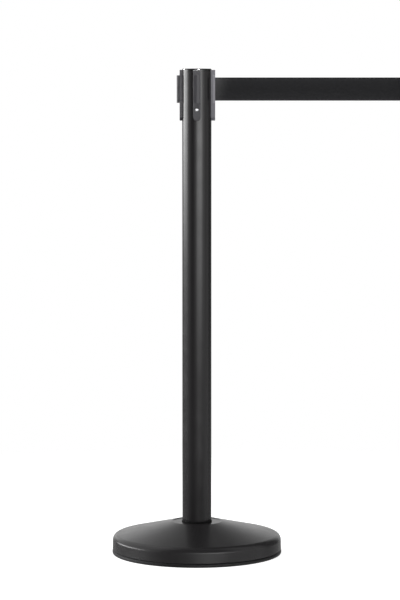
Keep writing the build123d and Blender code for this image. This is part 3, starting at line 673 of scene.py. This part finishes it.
def panel(radiance, azimuth, half_width, side_fade, low, low_fade, high, high_fade):
    """A soft panel from low to high above the horizon. All but its radiance is in degrees,
    and each fade is half the width of that edge."""
    facing = add_node(
        tree, "ShaderNodeVectorMath", {"operation": "DOT_PRODUCT", 1: toward(azimuth)},
        {0: level.outputs["Vector"]})
    rise = axes.outputs["Z"]
    light = None
    for value, dark_end, bright_end in (
        (facing.outputs["Value"], cos(radians(half_width + side_fade)),
         cos(radians(max(half_width - side_fade, 0)))),
        (rise, sin(radians(low - low_fade)), sin(radians(low + low_fade))),
        (rise, sin(radians(high + high_fade)), sin(radians(high - high_fade))),
    ):
        upward = dark_end < bright_end
        edge = add_node(tree, "ShaderNodeMapRange", {
            "interpolation_type": "SMOOTHSTEP",
            "From Min": min(dark_end, bright_end), "From Max": max(dark_end, bright_end),
            "To Min": 0.0 if upward else 1.0, "To Max": 1.0 if upward else 0.0}, {"Value": value})
        settings, links = {"operation": "MULTIPLY"}, {0: edge.outputs["Result"]}
        if light:
            links[1] = light
        else:
            settings[1] = radiance
        light = add_node(tree, "ShaderNodeMath", settings, links).outputs["Value"]
    return light


panels = [
    panel(9.2, -105, 20, 18, -2.3, 1.6, 4, 4),       # bright, behind on the left
    panel(1.2, -92, 20, 32, -5.5, 3.5, 4, 4),        # its faint surround
    panel(4.6, 22, 9, 21, -3.8, 2.6, 3, 3),          # softer, in front on the right
    panel(1.9, 22, 20, 32, -4.5, 3, 3, 3),           # its faint surround
    panel(0.80, 180, 26, 12, -6, 4, 26, 12),         # white sweep at the back
    panel(0.30, 180, 125, 20, -60, 10, -8, 3),       # glow below the horizon
    panel(1.0, -110, 50, 25, 8, 6, 75, 12),          # wall and ceiling on the left
    panel(0.5, 78, 24, 12, -10, 4, 75, 12),          # wall and ceiling on the right
]
GLOOM = 0.10
total = add_node(tree, "ShaderNodeMath", {"operation": "ADD", 1: GLOOM}, {0: panels[0]})
for light in panels[1:]:
    total = add_node(tree, "ShaderNodeMath", {"operation": "ADD"}, {
        0: total.outputs["Value"], 1: light})
studio = add_node(tree, "ShaderNodeBackground", {}, {"Strength": total.outputs["Value"]})
backdrop = add_node(tree, "ShaderNodeBackground", {"Color": linear("#ffffff"), "Strength": 1.0})
seen = add_node(tree, "ShaderNodeLightPath").outputs["Is Camera Ray"]
sky = add_node(tree, "ShaderNodeMixShader", {}, {
    "Fac": seen, 1: studio.outputs["Background"], 2: backdrop.outputs["Background"]})
add_node(tree, "ShaderNodeOutputWorld", {}, {"Surface": sky.outputs["Shader"]})
print(len(panels), "panels round the post")

# %% [markdown]
# Three lamps finish the light. A big soft one overhead gives the shadowless fill that
# shows the pieces' own colours, and isn't mirrored. Two spots with snoots see only the
# head: they put a sparkle on the cap's polished edge, where all would be black on black.
# They aim a little to its left, so the belt stays out of their beams.

# %% Soft light overhead
OVERHEAD_PLACE = Vector((-0.3, -0.9, 3.0))
OVERHEAD_AIM = Vector((0, 0, 0.5))
overhead_data = bpy.data.lights.new("overhead", "AREA")
overhead_data.shape = "DISK"
overhead_data.size = 1.8
overhead_data.energy = 48.0
overhead = bpy.data.objects.new("overhead", overhead_data)
overhead.location = OVERHEAD_PLACE
overhead.rotation_euler = (OVERHEAD_PLACE - OVERHEAD_AIM).to_track_quat("Z", "Y").to_euler()
overhead.visible_camera = False
overhead.visible_glossy = False
bpy.context.scene.collection.objects.link(overhead)
print("overhead", overhead_data.energy, "W,", overhead_data.size, "m across")

# %% Spots with snoots
SPOT_DISTANCE = 0.7
AIM_LEFT = 15 * MM
left_of_cap = Vector((-AIM_LEFT, 0, cad_high.z))
for name, azimuth, height, width, beam, watts in (
    ("sparkle_left", -130, 20, 0.08, 14, 42.0),
    ("sparkle_front", 31, 62, 0.06, 11, 300.0),
):
    spot = bpy.data.lights.new(name, "SPOT")
    spot.shadow_soft_size = width / 2
    spot.spot_size = radians(beam)
    spot.spot_blend = 0.5
    spot.energy = watts
    lamp = bpy.data.objects.new(name, spot)
    away = toward(azimuth, height)
    lamp.location = left_of_cap + SPOT_DISTANCE * away
    lamp.rotation_euler = away.to_track_quat("Z", "Y").to_euler()
    lamp.visible_camera = False
    lamp.visible_diffuse = False
    bpy.context.scene.collection.objects.link(lamp)
    print(name, "at", tuple(round(v, 3) for v in lamp.location))

# %% [markdown]
# Blender's default view transform greys a white ground, so the plain one is used.

# %% View transform
bpy.context.scene.view_settings.view_transform = "Standard"
print("view transform", bpy.context.scene.view_settings.view_transform)
